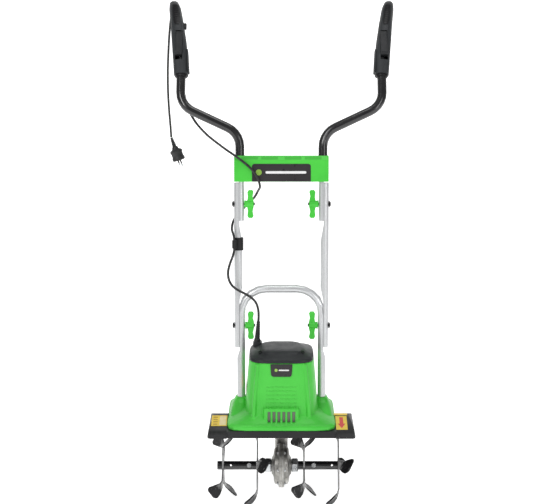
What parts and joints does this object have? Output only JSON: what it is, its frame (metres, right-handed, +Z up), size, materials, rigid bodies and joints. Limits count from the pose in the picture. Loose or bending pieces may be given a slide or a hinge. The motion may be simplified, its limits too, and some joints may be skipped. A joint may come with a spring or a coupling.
{
  "type": "mini cultivator",
  "caption": "Electric mini cultivator with tine stars under a hood, a worm gearbox, a folding tube handle, switch levers and a mains lead.",
  "frame": {"origin": "on the ground, under the middle of the bounding box of the machine measured without the mains lead and its plug", "axes": "+Z up; the front of the machine faces -Y; the operator stands behind it at +Y looking along -Y, with the left hand on the +X grip"},
  "size_m": [0.6378, 0.4905, 1.3519],
  "materials": {
    "green_shell": "moulded, semi-gloss",
    "green_knob": "moulded, semi-gloss",
    "black_shell": "moulded, fine grain",
    "grey_cap": "moulded, fine grain",
    "grip_grey": "moulded, fine grain",
    "cable_rubber": "smooth, matt",
    "silver_tube": "silver powder coat, satin",
    "black_tube": "black, high gloss",
    "diecast": "raw die-cast",
    "plated_steel": "zinc plated",
    "tine_steel": "dark, worn at the edges",
    "shaft_steel": "ground",
    "bronze": "cut, oiled",
    "laminations": "stacked sheet, varnished",
    "nylon": "moulded"
  },
  "bodies": {
    "base": {"gearbox_left": "diecast", "gearbox_right": "diecast", "axle_bearing_left": "shaft_steel", "axle_bearing_right": "shaft_steel", "worm_bearing": "shaft_steel", "gear_carrier": "black_shell", "stator_core": "laminations", "hood": "black_shell", "housing_front": "green_shell", "housing_rear": "green_shell", "motor_cap": "grey_cap", "motor_strain_relief": "cable_rubber", "lower_frame": "silver_tube", "motor_lead_lower": "cable_rubber"},
    "tine_rotor": {"axle_shaft": "shaft_steel", "worm_wheel": "bronze", "hex_collar_left": "plated_steel", "hex_collar_right": "plated_steel", "tine_tube_left": "black_tube", "tine_tube_right": "black_tube", "tine_bolt_left": "plated_steel", "tine_bolt_right": "plated_steel", "tine_star_1": "tine_steel", "tine_star_2": "tine_steel", "tine_star_3": "tine_steel", "tine_star_4": "tine_steel"},
    "worm": {"worm_shaft": "shaft_steel", "reduction_gear": "nylon"},
    "armature": {"motor_shaft": "shaft_steel", "armature_core": "laminations", "cooling_fan": "nylon"},
    "mid_frame": {"mid_tube_left": "silver_tube", "mid_tube_right": "silver_tube", "lower_bolt_left": "plated_steel", "lower_bolt_right": "plated_steel", "upper_bolt_left": "plated_steel", "upper_bolt_right": "plated_steel", "cable_clip": "black_shell"},
    "lower_knob_l": {"lower_knob_left": "green_knob"},
    "lower_knob_r": {"lower_knob_right": "green_knob"},
    "upper_knob_l": {"upper_knob_left": "green_knob"},
    "upper_knob_r": {"upper_knob_right": "green_knob"},
    "upper_handle": {"stub_tube_left": "silver_tube", "stub_tube_right": "silver_tube", "handle_tube_left": "black_tube", "handle_tube_right": "black_tube", "crossbar_front": "green_shell", "crossbar_rear": "green_shell", "grip_left_outer": "grip_grey", "grip_left_inner": "grip_grey", "grip_right_outer": "grip_grey", "grip_right_inner": "grip_grey", "switch_block": "grip_grey", "motor_lead_upper": "cable_rubber", "mains_lead": "cable_rubber", "mains_plug": "cable_rubber"},
    "lever_l": {"lever_left": "black_shell"},
    "lever_r": {"lever_right": "black_shell"},
    "button": {"lock_button": "black_shell"}
  },
  "joints": [
    {"name": "tine_spin", "type": "hinge", "parent": "base", "child": "tine_rotor", "pos_m": [0, -0.0892, 0.10352], "axis": [1, 0, 0], "continuous": true},
    {"name": "worm_spin", "type": "hinge", "parent": "base", "child": "worm", "pos_m": [0, -0.0372, 0.22459], "axis": [0, 0, 1], "continuous": true},
    {"name": "armature_spin", "type": "hinge", "parent": "base", "child": "armature", "pos_m": [0, -0.0652, 0.32559], "axis": [0, 0, 1], "continuous": true},
    {"name": "lower_fold", "type": "hinge", "parent": "base", "child": "mid_frame", "pos_m": [0, -0.05091, 0.49351], "axis": [1, 0, 0], "range_deg": [0, 95], "deforming": ["motor_lead_lower"]},
    {"name": "upper_fold", "type": "hinge", "parent": "mid_frame", "child": "upper_handle", "pos_m": [0, -0.01652, 0.8207], "axis": [1, 0, 0], "range_deg": [-150, 0], "deforming": ["motor_lead_upper"]},
    {"name": "lower_knob_l_turn", "type": "hinge", "parent": "mid_frame", "child": "lower_knob_l", "pos_m": [0, -0.05091, 0.49351], "axis": [-1, 0, 0], "range_deg": [0, 630]},
    {"name": "lower_knob_r_turn", "type": "hinge", "parent": "mid_frame", "child": "lower_knob_r", "pos_m": [0, -0.05091, 0.49351], "axis": [1, 0, 0], "range_deg": [0, 630]},
    {"name": "upper_knob_l_turn", "type": "hinge", "parent": "mid_frame", "child": "upper_knob_l", "pos_m": [0, -0.01652, 0.8207], "axis": [-1, 0, 0], "range_deg": [0, 630]},
    {"name": "upper_knob_r_turn", "type": "hinge", "parent": "mid_frame", "child": "upper_knob_r", "pos_m": [0, -0.01652, 0.8207], "axis": [1, 0, 0], "range_deg": [0, 630]},
    {"name": "lever_l_squeeze", "type": "hinge", "parent": "upper_handle", "child": "lever_l", "pos_m": [0.27337, 0.09088, 1.2667], "axis": [1, 0, 0], "range_deg": [0, 7], "stiffness_Nm_per_rad": 1.5, "springref_deg": -4.58},
    {"name": "lever_r_squeeze", "type": "hinge", "parent": "upper_handle", "child": "lever_r", "pos_m": [-0.27337, 0.09088, 1.2667], "axis": [1, 0, 0], "range_deg": [0, 7], "stiffness_Nm_per_rad": 1.5, "springref_deg": -4.58},
    {"name": "button_press", "type": "slide", "parent": "upper_handle", "child": "button", "axis": [-1, 0, 0], "range_m": [0, 0.004], "stiffness_N_per_m": 300, "springref_m": -0.003}
  ],
  "couplings": [
    {"joint": "worm_spin", "follows": "tine_spin", "ratio": -12},
    {"joint": "armature_spin", "follows": "tine_spin", "ratio": 48}
  ]
}
